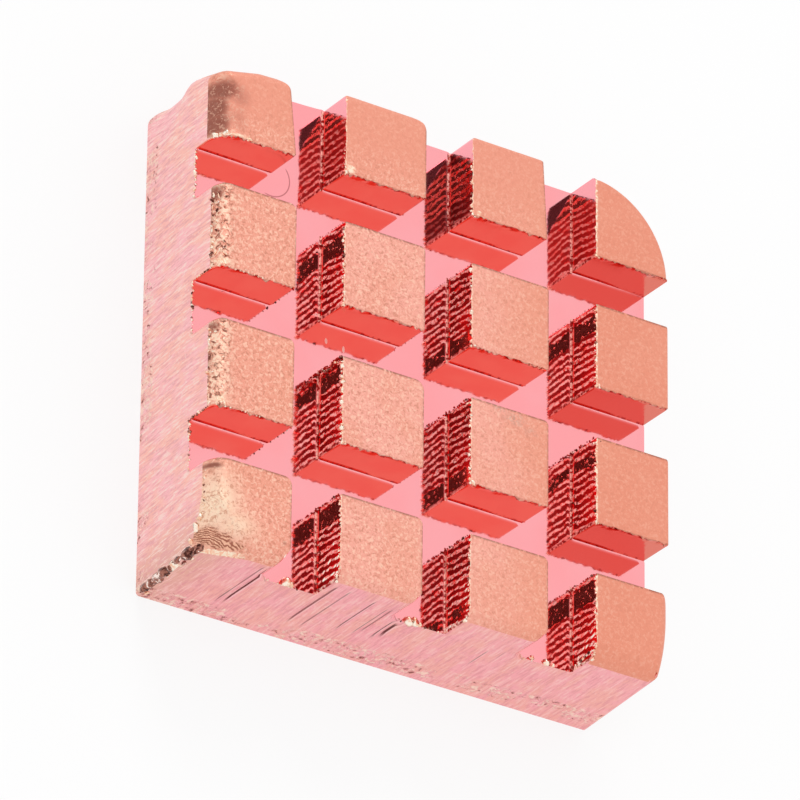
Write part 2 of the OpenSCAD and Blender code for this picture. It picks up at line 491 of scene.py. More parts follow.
reach = np.clip((FRONT + SWEEP_LENGTH - points[:, 1]) / SWEEP_LENGTH, 0, 1)
level = np.clip(points[:, 2] / TOP, 0, 1)
lost = (SWEEP_FOOT + (SWEEP_TOP - SWEEP_FOOT) * level) * reach ** 2
share = np.clip((points[:, 0] - PIN_STARTS[-1]) / PIN, 0, 1)
points[:, 0] -= lost * share
lean = LEFT_LEAN * np.clip(1 - points[:, 2] / LEAN_FROM, 0, 1)
points[:, 0] += lean * np.clip((PIN_STARTS[1] - points[:, 0]) / PIN, 0, 1)
print("deepest sweep:", round(float(lost.max()), 3), "mm, lean:", LEFT_LEAN, "mm")

# %% [markdown]
# ## Rub the hollow and crush the corner
# The back left corner has a hollow rubbed in it half way up the plate, and the front left pin was
# crushed to a slope. The hollow is a smooth bump function pushed in, and the slope is a plane that
# the pin is squashed under: scaling its height keeps all its rows, where a flat cut would merge them.

# %% Hollow and crush
HOLLOW_DEPTH, HOLLOW_AT, HOLLOW_HALF, HOLLOW_REACH = 0.15, 1.25, 0.78, 0.9
EACH_WAY = 0.7
CRUSH_DROP, CRUSH_SLOPE = 0.72, math.tan(math.radians(33))

corner_away = np.hypot(points[:, 0] - LEFT, points[:, 1] - (BACK - BACK_SKEW))
pull = HOLLOW_DEPTH * np.exp(-((points[:, 2] - HOLLOW_AT) / HOLLOW_HALF) ** 4)
pull *= np.exp(-(corner_away / HOLLOW_REACH) ** 2)
points[:, 0] += pull * EACH_WAY
points[:, 1] -= pull * EACH_WAY

diagonal = ((points[:, 0] - LEFT) + (points[:, 1] - FRONT)) / math.sqrt(2)
ceiling = TOP - CRUSH_DROP + CRUSH_SLOPE * diagonal
crushed = upper & (ceiling < TOP) & pin_points(0, 0)
lowered = FLOOR + (points[:, 2] - FLOOR) * (ceiling - FLOOR) / (TOP - FLOOR)
points[crushed, 2] = np.minimum(points[:, 2], lowered)[crushed]
print("points crushed:", int(crushed.sum()))

# %% [markdown]
# ## Ragged edges
# The cutter pushes a torn lip over the edge as it leaves the metal. The top two rows of points on
# the front and left walls of the inner pins are moved a few hundredths by smooth noise, as a
# sculpting brush would, and by a little chance of their own.

# %% Ragged edges
FALL_OFF, FINER, LAYERS = 1.0, 2.0, 2


def wander(rows, scale, seed):
    """Smooth noise, one value per row, between about -1 and 1."""
    shift = Vector((seed * 17.3, seed * 5.1, seed * 9.7))
    spots = [Vector(row) * scale + shift for row in rows]
    return np.array([noise.fractal(spot, FALL_OFF, FINER, LAYERS) for spot in spots])


def tear_edge(edge, axis, tear, sag):
    """Pushes points out of a wall that faces down an axis, and lets them sag a share of that."""
    points[edge, axis] -= tear
    points[edge, 2] -= np.abs(tear) * sag


EDGE_ROWS = ((0, 1.0), (1, 0.55))
WALL_STEP = (TOP - FLOOR) / WALL_STEPS
teeth = np.random.default_rng(4)
torn_points = 0
for row in range(PINS):
    for column in range(PINS):
        here = pin_points(column, row)
        number = row * PINS + column
        for level, strength in EDGE_ROWS:
            line = here & (np.abs(square[:, 2] - (TOP - level * WALL_STEP)) < TOUCH)
            if row > 0:
                edge = np.where(line & (np.abs(square[:, 1] - PIN_STARTS[row]) < TOUCH))[0]
                seen_from_above = square[edge] * [1, 1, 0]
                tear = 0.035 * wander(seen_from_above, 5.0, 3 + number)
                tear += 0.03 * wander(seen_from_above, 14.0, 31 + number)
                tear += 0.020 * teeth.standard_normal(len(edge))
                tear_edge(edge, 1, tear * strength, 0.8)
                torn_points += len(edge)
            if column > 0:
                edge = np.where(line & (np.abs(square[:, 0] - PIN_STARTS[column]) < TOUCH))[0]
                tear = 0.03 * wander(square[edge] * [1, 1, 0], 6.0, 53 + number)
                tear += 0.012 * teeth.standard_normal(len(edge))
                tear_edge(edge, 0, tear * strength, 0.6)
                torn_points += len(edge)
print("points on torn edges:", torn_points)

# %% [markdown]
# ## Scratches cut into the front
# A few deep scratches run up the front where the part was dragged over something hard. Each is a
# narrow groove: points near its line are pushed in.

# %% Scratches
# x of each scratch, its lowest and highest z, its width and its depth, in millimetres
SCRATCHES = [(-5.17, 0.9, 3.40, 0.07, 0.060), (-5.39, 0.8, 3.50, 0.05, 0.035),
             (-3.10, 0.9, 3.60, 0.06, 0.045), (-2.66, 0.8, 3.58, 0.05, 0.030),
             (-1.77, 1.25, 3.45, 0.06, 0.050), (-1.27, 1.3, 3.28, 0.05, 0.035),
             (-1.13, 1.5, 3.32, 0.05, 0.035), (-0.70, 1.38, 2.73, 0.10, 0.085),
             (-0.51, 1.5, 2.60, 0.09, 0.085), (2.40, 1.5, 2.70, 0.05, 0.030),
             (2.83, 2.2, 2.95, 0.05, 0.020)]
FADE_IN, FADE_OUT = 0.35, 0.25
front_points = square[:, 1] < FRONT + TOUCH
groove = np.zeros(len(points))
for at, low, high, width, depth in SCRATCHES:
    across = np.exp(-((points[:, 0] - at) / width) ** 2)
    ends = np.clip((points[:, 2] - low) / FADE_IN, 0, 1) * np.clip((high - points[:, 2]) / FADE_OUT, 0, 1)
    groove = np.maximum(groove, across * ends * depth)
points[front_points, 1] += groove[front_points]
print("deepest groove:", round(float(groove[front_points].max()), 3), "mm")

# %% [markdown]
# ## Paint the stains
# Some stains, and one sheen, keep to one place rather than to any pattern in space, so they are
# painted on the points of the skin: soot-brown smudges, cream where the copper is torn, a painted
# golden sheen on the crushed corner, folds squeezed up in it, and one grey smear. The finishes read
# these paints by name.

# %% Painted stains
# x and y of each soft oval spot, half its width and half its depth in millimetres, and its strength
STAINS = {
    "soot": [(-7.28, 6.40, 0.50, 0.34, 1.00), (-7.42, 5.85, 0.30, 0.50, 1.00),
             (-6.95, 6.25, 0.60, 0.50, 0.50), (-7.40, 5.35, 0.34, 0.40, 1.00),
             (-7.05, 5.55, 0.60, 0.75, 0.42), (-7.48, 3.05, 0.24, 0.26, 0.95),
             (-7.52, 2.15, 0.11, 0.60, 0.55), (-7.48, -1.05, 0.22, 0.18, 0.75),
             (-7.52, -1.95, 0.11, 0.60, 0.50), (-7.34, -5.17, 0.24, 0.09, 1.00),
             (-5.15, -6.95, 0.10, 0.08, 0.60)],
    "cream": [(-3.17, 5.12, 0.20, 0.17, 0.90), (1.02, 5.06, 0.13, 0.11, 0.90),
              (-6.90, -7.46, 1.05, 0.06, 1.00), (-7.45, 4.93, 0.30, 0.09, 1.00),
              (-6.85, 5.02, 0.60, 0.06, 0.90), (-7.28, 0.98, 0.24, 0.13, 1.00),
              (-7.28, -3.18, 0.20, 0.13, 1.00), (-6.40, -7.38, 1.30, 0.13, 0.45),
              (-6.40, 0.88, 0.70, 0.05, 0.60), (-6.40, -3.28, 0.60, 0.05, 0.60)],
    "gold_sheen": [(-7.25, -6.30, 0.60, 0.85, 1.00), (-6.70, -6.80, 0.60, 0.40, 0.80),
             (-7.35, -2.30, 0.25, 0.80, 0.25)],
    "folds": [(-7.28, -7.10, 0.28, 0.26, 1.00), (-6.95, -7.22, 0.34, 0.20, 1.00),
              (-6.60, -7.32, 0.34, 0.10, 1.00)],
    "grey": [(1.75, -0.85, 0.16, 0.10, 0.90), (2.25, -1.05, 0.30, 0.16, 0.80),
             (2.75, -1.30, 0.20, 0.12, 0.50)],
}


def stain(spots):
    """The strongest of a list of spots at each point, seen from above."""
    total = np.zeros(len(points))
    for at_x, at_y, half_x, half_y, strength in spots:
        ring = ((points[:, 0] - at_x) / half_x) ** 2 + ((points[:, 1] - at_y) / half_y) ** 2
        total = np.maximum(total, strength * np.exp(-ring))
    return total


paints = {name: np.where(upper, stain(spots), 0) for name, spots in STAINS.items()}
print("stained:", {name: int((values > 0.5).sum()) for name, values in paints.items()})

# %% [markdown]
# ## Paint along the edges of each pin
# The thin dark line of the saw's burnt edge, the cream lip beside it, the crumpled left margin and
# the flat part of each wall that faces left all follow the edges of one pin, so one loop over the
# pins paints them. "pin_v" tells how far back on its pin a point lies, from 0 to 1.

# %% Painted edges
# where along its depth each wall that faces left was left flat, front row first, columns 2 to 4:
# from, to, and how flat
FLAT = [[(0.72, 0.93, 1.0), (0.04, 0.27, 0.55), (0.70, 0.93, 1.0)],
        [(0.72, 0.90, 1.0), (0.02, 0.22, 1.0), (0.70, 0.86, 0.8)],
        [(0.66, 0.86, 1.0), (0.02, 0.22, 0.9), (0.66, 0.90, 0.8)],
        [(0.66, 0.92, 1.0), (0.28, 0.82, 0.85), (0.72, 0.95, 0.8)]]
FLAT_FADE = 0.16
# how crumpled the left margin of each pin in the left column is, and how wide, front row first
CRUMPLED = [(0.45, 0.80), (1.0, 0.62), (1.0, 0.62), (0.50, 0.62)]
LIP_BANDS = (0, 0.05, 0.05, 0.09)
for name in ("burnt", "pin_v", "flat", "crumple"):
    paints[name] = np.zeros(len(points))


def deepen(name, where, values):
    """Raises a paint to the given values at the picked points, where they are stronger."""
    paints[name][where] = np.maximum(paints[name], values)[where]


on_top = np.abs(square[:, 2] - TOP) < TOUCH
for row in range(PINS):
    for column in range(PINS):
        here = pin_points(column, row)
        u = plan[:, 0] - PIN_STARTS[column]
        v = plan[:, 1] - PIN_STARTS[row]
        paints["pin_v"][here] = (v / PIN)[here]
        if column > 0:
            low, high, strength = FLAT[row][column - 1]
            patch = np.clip((v / PIN - low) / FLAT_FADE + 0.5, 0, 1)
            patch *= np.clip((high - v / PIN) / FLAT_FADE + 0.5, 0, 1)
            paints["flat"][here] = strength * patch[here]
        else:
            strength, wide = CRUMPLED[row]
            paints["crumple"][here] = (strength * np.exp(-(np.maximum(u, 0) / wide) ** 2))[here]
        edge = here & on_top
        if row < PINS - 1:
            deepen("burnt", edge, np.clip(1.25 - (PIN - v) / 0.05, 0, 1))
        if column < PINS - 1:
            deepen("burnt", edge, np.clip(0.8 - (PIN - u) / 0.06, 0, 1))
        if row > 0:
            deepen("burnt", edge, np.clip(0.9 - v / 0.04, 0, 1))
            deepen("cream", edge, 0.34 * np.exp(-((v - 0.10) / 0.08) ** 2))
        if column > 0:
            deepen("cream", edge, 0.75 * np.exp(-(u / LIP_BANDS[column]) ** 2))
for name, values in paints.items():
    layer = sink.data.attributes.new(name, "FLOAT", "POINT")
    layer.data.foreach_set("value", values.astype(np.float32))
print("painted:", ", ".join(paints))

# %% [markdown]
# ## Uneven cuts
# The channels were set out by hand wheel and are a few hundredths of a millimetre off. Everything
# so far was built on an even grid, so one last step moves each cut to its true place and lets the
# points between follow.

# %% Uneven cuts
OFF_X = (0, 0, -0.02, 0.09, 0.05, 0.07, 0.08, 0)
OFF_Y = (0, 0.02, -0.03, 0.07, 0.06, 0.10, 0.02, 0)


def true_place(rows):
    """Moves rows of x, y, z from the even grid to the cuts as they were made."""
    moved = np.array(rows, dtype=float)
    moved[..., 0] += np.interp(moved[..., 0], [LEFT, *CUTS, RIGHT], OFF_X)
    moved[..., 1] += np.interp(moved[..., 1], [FRONT, *CUTS, BACK], OFF_Y)
    return moved


points = true_place(points)
print("largest shift:", max(OFF_X + OFF_Y), "mm")

# %% [markdown]
# ## Shrink to size
# The worn skin goes back into the mesh, shrunk to metres. The finish of the tops runs down over the
# worn round to where the ground side begins, and the streaks run down into the fillet at the foot
# of their wall. Sharp edges stay sharp and everything flatter than the chosen angle is shaded
# smooth.

# %% Write the skin
ROUND_TILT, ROUND_FROM = 0.16, FLOOR + 0.2
FILLET_TILT, FILLET_SIDE = 0.10, 0.3
SMOOTH_ANGLE = math.radians(38)
for axis in range(3):
    points[:, axis] = np.clip(points[:, axis], LOW[axis], HIGH[axis])
sink.data.vertices.foreach_set("co", (points / TO_MM).ravel())
sink.data.update()
outer = {FINISHES.index(name) for name in ("left_side", "front_side", "right_side", "back_side")}
floors = FINISHES.index("channel_floor")
for face in sink.data.polygons:
    tilt = face.normal
    if face.material_index in outer and tilt.z > ROUND_TILT and face.center.z * TO_MM > ROUND_FROM:
        face.material_index = FINISHES.index("pin_top")
    if face.material_index == floors and tilt.x < -FILLET_TILT and abs(tilt.y) < FILLET_SIDE:
        face.material_index = FINISHES.index("streaked_wall")
start_clean()
sink.select_set(True)
bpy.context.view_layer.objects.active = sink
bpy.ops.object.shade_smooth_by_angle(angle=SMOOTH_ANGLE)
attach(sink, "root")
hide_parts("heat_sink")
print("triangles:", sum(len(face.vertices) - 2 for face in sink.data.polygons))

# %% [markdown]
# ## Shader maths written as sums
# A finish is a sum of simple patterns. Wrapping a socket in a small class lets the sums be written
# as sums, and each one adds its Math nodes. Other nodes come from one method.

# %% A socket that can be added and multiplied
class Wire:
    """An output socket of a shader tree, used like a number."""

    def __init__(self, tree, socket):
        self.tree = tree
        self.socket = socket

    def maths(self, operation, *values):
        return add_node(self.tree, "ShaderNodeMath", {"operation": operation}, values)

    def __add__(self, other):
        return self.maths("ADD", self, other)

    def __radd__(self, other):
        return self.maths("ADD", other, self)

    def __sub__(self, other):
        return self.maths("SUBTRACT", self, other)

    def __rsub__(self, other):
        return self.maths("SUBTRACT", other, self)

    def __mul__(self, other):
        return self.maths("MULTIPLY", self, other)

    def __rmul__(self, other):
        return self.maths("MULTIPLY", other, self)

    def __pow__(self, other):
        return self.maths("POWER", self, other)

    def size(self):
        return self.maths("ABSOLUTE", self)

    def most(self, other):
        return self.maths("MAXIMUM", self, other)

    def least(self, other):
        return self.maths("MINIMUM", self, other)

    def rise(self, low, high):
        """0 below low, 1 above high, with a soft ramp between; high may be the lower number."""
        settings = {"interpolation_type": "SMOOTHSTEP"}
        return add_node(self.tree, "ShaderNodeMapRange", settings,
                        {"Value": self, "From Min": low, "From Max": high})


def add_node(tree, kind, settings, values, out=0):
    """Adds a node: settings first, then a value or a Wire for each socket."""
    made = tree.nodes.new(kind)
    for name, value in settings.items():
        setattr(made, name, value)
    pairs = values.items() if isinstance(values, dict) else enumerate(values)
    for key, value in pairs:
        if isinstance(value, Wire):
            tree.links.new(value.socket, made.inputs[key])
        else:
            made.inputs[key].default_value = value
    return Wire(tree, made.outputs[out])


# %% [markdown]
# ## One bench for every finish
# All the finishes start alike: the place on the part in millimetres, a metal shader, and a few
# patterns. A finish then sets its colour, its roughness and its relief.

# %% The finish bench
class Finish:
    """A material being built, with its place in millimetres ready to use."""

    def __init__(self, name):
        material = bpy.data.materials.get(name) or bpy.data.materials.new(name)
        material.use_nodes = True
        self.name = name
        self.tree = material.node_tree
        self.shader = self.tree.nodes["Principled BSDF"]
        where = self.node("ShaderNodeTexCoord", {}, {}, out=3)
        self.place = self.node("ShaderNodeVectorMath", {"operation": "SCALE"},
                               {0: where, "Scale": TO_MM})
        parts = [self.node("ShaderNodeSeparateXYZ", {}, [self.place], out=k) for k in range(3)]
        self.x, self.y, self.z = parts

    def node(self, kind, settings, values, out=0):
        return add_node(self.tree, kind, settings, values, out)

    def stretch(self, x=1.0, y=1.0, z=1.0, shift=0.0):
        """The place with each axis scaled, for patterns that run one way."""
        return self.node("ShaderNodeMapping", {}, {"Vector": self.place, "Scale": (x, y, z),
                                                   "Location": (shift, shift, shift)})

    def grain(self, scale, detail=3.0, rough=0.55, twist=0.0, where=None):
        """Cloudy noise from 0 to 1, scale in lumps per millimetre."""
        return self.node("ShaderNodeTexNoise", {}, {"Vector": where or self.place, "Scale": scale,
                         "Detail": detail, "Roughness": rough, "Distortion": twist})

    def mix(self, share, first, second):
        """Blends two colours."""
        ends = [(*c, 1) if isinstance(c, tuple) else c for c in (first, second)]
        return self.node("ShaderNodeMix", {"data_type": "RGBA"},
                         {0: share, 6: ends[0], 7: ends[1]}, out=2)

    def painted(self, name):
        """A value painted on the points of the skin."""
        return self.node("ShaderNodeAttribute", {"attribute_name": name}, {}, out=2)

    def relief(self, height, distance, below=None):
        """A bump, its depth in millimetres; below is a relief it lies on."""
        values = {"Height": height, "Distance": distance / TO_MM, "Strength": 1.0}
        if below is not None:
            values["Normal"] = below
        return self.node("ShaderNodeBump", {}, values)

    def finish(self, colour, rough, relief=None):
        """Joins the patterns to the metal shader."""
        self.shader.inputs["Metallic"].default_value = 1.0
        for name, value in (("Base Color", colour), ("Roughness", rough), ("Normal", relief)):
            if isinstance(value, Wire):
                self.tree.links.new(value.socket, self.shader.inputs[name])
            elif value is not None:
                self.shader.inputs[name].default_value = value
        print(self.name, "has", len(self.tree.nodes), "nodes")


# %% [markdown]
# ## Channel floors
# The end of the cutter leaves the floors smooth enough to mirror the walls. Only a faint haze and
# a few fine rings of the tool show. Copper straight from the tool is the pinkest part of the sink.

# %% Channel floor finish
floor = Finish("channel_floor")
haze = floor.grain(0.5, 2.0)
fine = floor.grain(7.0, 3.0)
colour = floor.mix(haze.rise(0.35, 0.65), (1.0, 0.370, 0.392), (0.99, 0.392, 0.418))
# a fine curved scratch near the back left pin, drawn as part of a circle
SCRATCH_X, SCRATCH_Y, SCRATCH_R = -5.03, 4.86, 0.60
off = ((floor.x - SCRATCH_X) ** 2.0 + (floor.y - SCRATCH_Y) ** 2.0) ** 0.5
hair = (off - SCRATCH_R).size().rise(0.026, 0.010)
hair = hair * ((floor.x - SCRATCH_X) * 0.82 - (floor.y - SCRATCH_Y) * 0.57).rise(0.12, 0.24)
colour = floor.mix(hair * 0.6, colour, (0.30, 0.060, 0.060))
# two small nicks in front of a middle pin, where something sharp was set down
NICKS = ((-3.15, 0.32), (-2.58, 0.23))
nick = None
for at_x, at_y in NICKS:
    off = (((floor.x - at_x) * 2.2) ** 2.0 + (floor.y - at_y) ** 2.0) ** 0.5
    mark = (off + 0.05 * (fine - 0.5)).rise(0.11, 0.07)
    nick = mark if nick is None else nick.most(mark)
colour = floor.mix(nick * 0.7, colour, (1.0, 0.78, 0.72))
floor.finish(colour, 0.055 + 0.02 * haze + 0.35 * nick, floor.relief(fine, 0.0004))

# %% [markdown]
# ## Smooth walls
# The walls that face the front were cut with the cutter turning away from them and came out
# smooth. Their red is partly painted reflected light: light reaches them only after it has struck
# the floor.

# %% Smooth wall finish
wall = Finish("smooth_wall")
lines = wall.grain(1.0, 3.0, where=wall.stretch(9, 1, 0.8))
cloud = wall.grain(1.1, 2.0)
# the copper of these walls is painted redder for the light they take off the floor
colour = wall.mix(cloud.rise(0.3, 0.7), (0.87, 0.225, 0.160), (0.88, 0.265, 0.185))
colour = wall.mix(wall.x.rise(4.4, 5.2), colour, (0.76, 0.175, 0.125))
bitten = wall.grain(1.0, 3.0, 0.7, where=wall.stretch(8, 8, 4))
# dark ragged marks along the top edge, and painted shade in the crease at the foot
near_top = wall.z.rise(TOP - 0.13, TOP - 0.02) * bitten.rise(0.48, 0.58)
crease_shade = wall.z.rise(FLOOR + 0.14, FLOOR + 0.05) * bitten.rise(0.50, 0.60)
colour = wall.mix(near_top.most(crease_shade) * 0.85, colour, (0.40, 0.030, 0.026))
wall.finish(colour, 0.12 + 0.06 * lines, wall.relief(lines, 0.003))

# %% [markdown]
# ## Streaked walls
# On the walls that face left the teeth chattered: upright ridges, broken and wavy, four or five to
# the millimetre, with a painted highlight on their crests and almost black between. A patch of each
# wall is flat.
# The ridges are a flight of steps: their height drives the relief, and their place in each step
# drives the colour, so the two always agree.

# %% Streaked wall finish
wall = Finish("streaked_wall")
PITCH, HALF_WAY = 0.22, 3.38
CREST, TILT = 0.44, 0.90
bend = wall.grain(1.5, 1.0) - 0.5
wave = wall.grain(4.5, 1.0) - 0.5
crumbs = wall.grain(9.0, 1.0) - 0.5
slant = (wall.z - HALF_WAY) * 0.06 + 0.12 * (wall.grain(0.7, 1.0) - 0.5)
across = (wall.y + slant + 0.20 * bend + 0.15 * wave + 0.05 * crumbs) * (1 / PITCH)
# a flight of steps: each one climbs for a bit less than half the pitch, then runs level
step = across.maths("FRACT", across)
height = across - step + (step * (1 / CREST)).least(1.0)
beside = (step - 0.5 * CREST).size()
# the ridges are softer where the cutter entered, at the back and at the right
late = wall.y.rise(3.4, 6.0)
soft = wall.x.rise(1.5, 7.0) * 0.08 + late * 0.12
broken = wall.grain(1.0, 1.0, where=wall.stretch(4.0, 6.0, 3.0)).rise(0.32, 0.44)
flat = (wall.painted("flat") + 0.9 * (wall.grain(3.0, 2.0) - 0.5)).rise(0.42, 0.56) * (1 - 0.4 * late)
width = 0.19 * (0.35 + 0.65 * broken) + 0.26 * crumbs - 0.30 * flat
tone = (width - beside).rise(-0.09 - soft, 0.06 + soft)
# the deep reds here are partly painted reflected light, the colour copper walls cast on each other
gap = wall.mix(soft * 3.5, (0.95, 0.015, 0.017), (0.95, 0.060, 0.050))
streaks = wall.mix(tone.rise(0.0, 0.5), gap, (0.95, 0.10, 0.08))
# painted highlight: the crests are coloured almost white, broken into dashes along their length
crest_highlight = wall.mix(soft * 3.0, (1.0, 0.96, 0.84), (0.98, 0.48, 0.38))
highlight_dashes = wall.grain(1.0, 2.0, where=wall.stretch(5.0, 9.0, 5.0)).rise(0.36, 0.56)
streaks = wall.mix(tone.rise(0.30, 0.80) * (0.35 + 0.65 * highlight_dashes), streaks, crest_highlight)
# painted shade: the streaks of the third column are darker, and so are all the streaks towards the back
third = wall.x.rise(-1.0, 0.5) * wall.x.rise(3.2, 2.0)
streaks = wall.mix(late * 0.35, streaks, (0.50, 0.012, 0.010))
streaks = wall.mix(third * (0.12 + 0.80 * late), streaks, (0.20, 0.008, 0.007))

# %% [markdown]
# ## The flat patch, the foot and the open end
# Each streaked wall has a flat mottled patch, a foot darkened by painted shade and a dark front
# edge, both with light flecks, and, near the back edge of the sink, an end that mirrors the open
# air. They are laid over the streaks, and the relief goes with them.

# %% Over the streaks
mottle = wall.grain(5.0, 3.0)
patch = wall.mix(mottle.rise(0.40, 0.65), (0.92, 0.15, 0.11), (1.0, 0.28, 0.22))
colour = wall.mix(flat, streaks, patch)
# painted shade in the crease at the foot, and the same dark, flecked colour down the front edge
foot = wall.mix(crumbs.rise(-0.10, 0.06), (0.42, 0.020, 0.018), (1.0, 0.56, 0.48))
foot_shade_mask = wall.z.rise(FLOOR + 0.085 + 0.08 * crumbs, FLOOR + 0.055)
foot_shade_mask = foot_shade_mask.most(wall.painted("pin_v").rise(0.055, 0.025))
colour = wall.mix(foot_shade_mask, colour, foot)
# behind this slanting line the wall mirrors the open air past the back edge, clean and pink
open_end = (wall.y + 0.63 * wall.z).rise(9.14, 9.28)
colour = wall.mix(open_end, colour, (1.0, 0.38, 0.42))
bare = flat.most(open_end)
steps = wall.relief(height, CREST * PITCH * TILT)
level = wall.relief(wall.grain(8.0, 2.0).rise(0.62, 0.72) * flat * (1 - open_end), 0.020)
ridge = wall.mix(bare.most(soft * 2.2), steps, level)
rough = 0.14 + (1 - bare) * (0.14 - 0.06 * tone + 0.5 * soft) + 0.25 * foot_shade_mask
wall.finish(colour, rough, ridge)

# %% [markdown]
# ## Pin tops
# The tops are the skin of the sawn blank: matte, peach coloured, with a fine worm-like grain of
# cream flecks and brown pinholes. Each top has its own tint.

# %% Pin top finish
top = Finish("pin_top")
worm = top.grain(10.0, 3.0, 0.6, 1.0)
speck = top.grain(22.0, 1.0, 0.5, 0.5)
curl = top.grain(6.5, 3.0, 0.6, 1.2)
patch = top.grain(0.6, 2.0)
warm = top.x.rise(0.5, 5.8).most(top.y.rise(3.6, 6.4) * 0.55)
middle = top.x.rise(-5.2, -3.2) * top.x.rise(3.6, 1.6) * top.y.rise(4.8, 4.0)
cool = top.mix(middle, (0.895, 0.392, 0.292), (0.925, 0.430, 0.345))
tint = top.mix(warm, cool, (0.84, 0.322, 0.218))
tint = top.mix(patch.rise(0.60, 0.35) * 0.45, tint, (0.86, 0.36, 0.25))
# a painted golden sheen where the crushed corner slopes
tint = top.mix(top.painted("gold_sheen"), tint, (1.0, 0.80, 0.60))
tint = top.mix((top.painted("gold_sheen") * curl.rise(0.54, 0.38)) * 0.65, tint, (0.93, 0.50, 0.33))
worked = 0.20 + 0.48 * top.x.rise(8.0, -5.0) * top.y.rise(6.4, 4.6)
light = top.mix(worm.rise(0.50, 0.64) * worked, tint, (1.0, 0.68, 0.52))
dark = top.mix(worm.rise(0.48, 0.32) * worked, light, (0.60, 0.23, 0.15))
fleck = top.mix(speck.rise(0.34, 0.24) * 0.6 * worked, dark, (0.42, 0.17, 0.11))

# %% [markdown]
# ## Crumpled margins and torn lips
# Along the left column the tops are crumpled, a coarser worm grain with painted cream highlights
# and painted brown shadows on its curls. Where the copper is torn it is pale and lumpy. Both follow
# the paints on the skin.

# %% Margins and lips of the tops
crumple = top.painted("crumple") * (0.55 + 0.9 * top.grain(2.2, 2.0))
crumple = crumple.rise(0.20, 0.95)
# painted highlights on the crumpled curls, then painted shadows beside them
crumple_highlight = top.mix(crumple * curl.rise(0.50, 0.58) * 0.85, fleck, (1.0, 0.76, 0.58))
margin = top.mix(crumple * curl.rise(0.46, 0.36) * 0.9, crumple_highlight, (0.26, 0.095, 0.060))
torn = top.painted("cream")
lumpy = top.grain(9.0, 3.0, 0.6, 1.0)
creamy = top.mix(lumpy.rise(0.44, 0.58), (0.98, 0.58, 0.40), (1.0, 0.86, 0.68))
pale = top.mix((torn * (0.15 + 1.7 * lumpy)).rise(0.40, 0.80) * 0.9, margin, creamy)

# %% [markdown]
# ## Smudges, folds and the burnt line
# Soot lies in smudges, the crushed corner is squeezed into folds, one place is smeared grey, and
# the saw left a thin burnt line. The folds are rings around a point outside the corner, bent by
# noise. Every layer adds to the relief, and the finish is then complete.

# %% Smudges and folds of the tops
soot = top.painted("soot")
smudge = (soot * (0.35 + 0.7 * worm + 0.6 * curl)).rise(0.15, 0.85)
brown = top.mix(smudge * 0.85, pale, (0.27, 0.080, 0.058))
brown = top.mix(smudge * worm.rise(0.54, 0.62) * 0.45, brown, (0.95, 0.55, 0.40))
ring = (((top.x + 7.95) * 0.55) ** 2.0 + (top.y + 8.15) ** 2.0) ** 0.5
fold = ring * 120 + 26.0 * top.grain(3.0, 3.0)
fold = fold.maths("SINE", fold)
folded = (top.painted("folds") + 0.9 * (worm - 0.5) + 0.5 * (curl - 0.5)).rise(0.32, 0.66)
folds = top.mix(fold.rise(-0.7, 0.5) * lumpy.rise(0.25, 0.55), (0.36, 0.115, 0.070), (0.92, 0.52, 0.36))
brown = top.mix(folded * 0.92, brown, folds)
brown = top.mix(top.painted("grey") * lumpy.rise(0.40, 0.60) * 0.6, brown, (0.42, 0.34, 0.30))
burnt = top.painted("burnt") * lumpy.rise(0.34, 0.52) * 0.80
colour = top.mix(burnt, brown, (0.26, 0.085, 0.060))
depth = worm + curl * 2.5 * crumple + 0.4 * speck + folded * fold + 2.0 * torn * lumpy
top.finish(colour, 0.44 + 0.12 * worm, top.relief(depth, 0.007))

# %% [markdown]
# ## Ground sides
# The sides were ground up and down on a belt. Fine upright lines run the whole height, with soft
# pink and orange clouds under them and a few deeper scratches and pits.

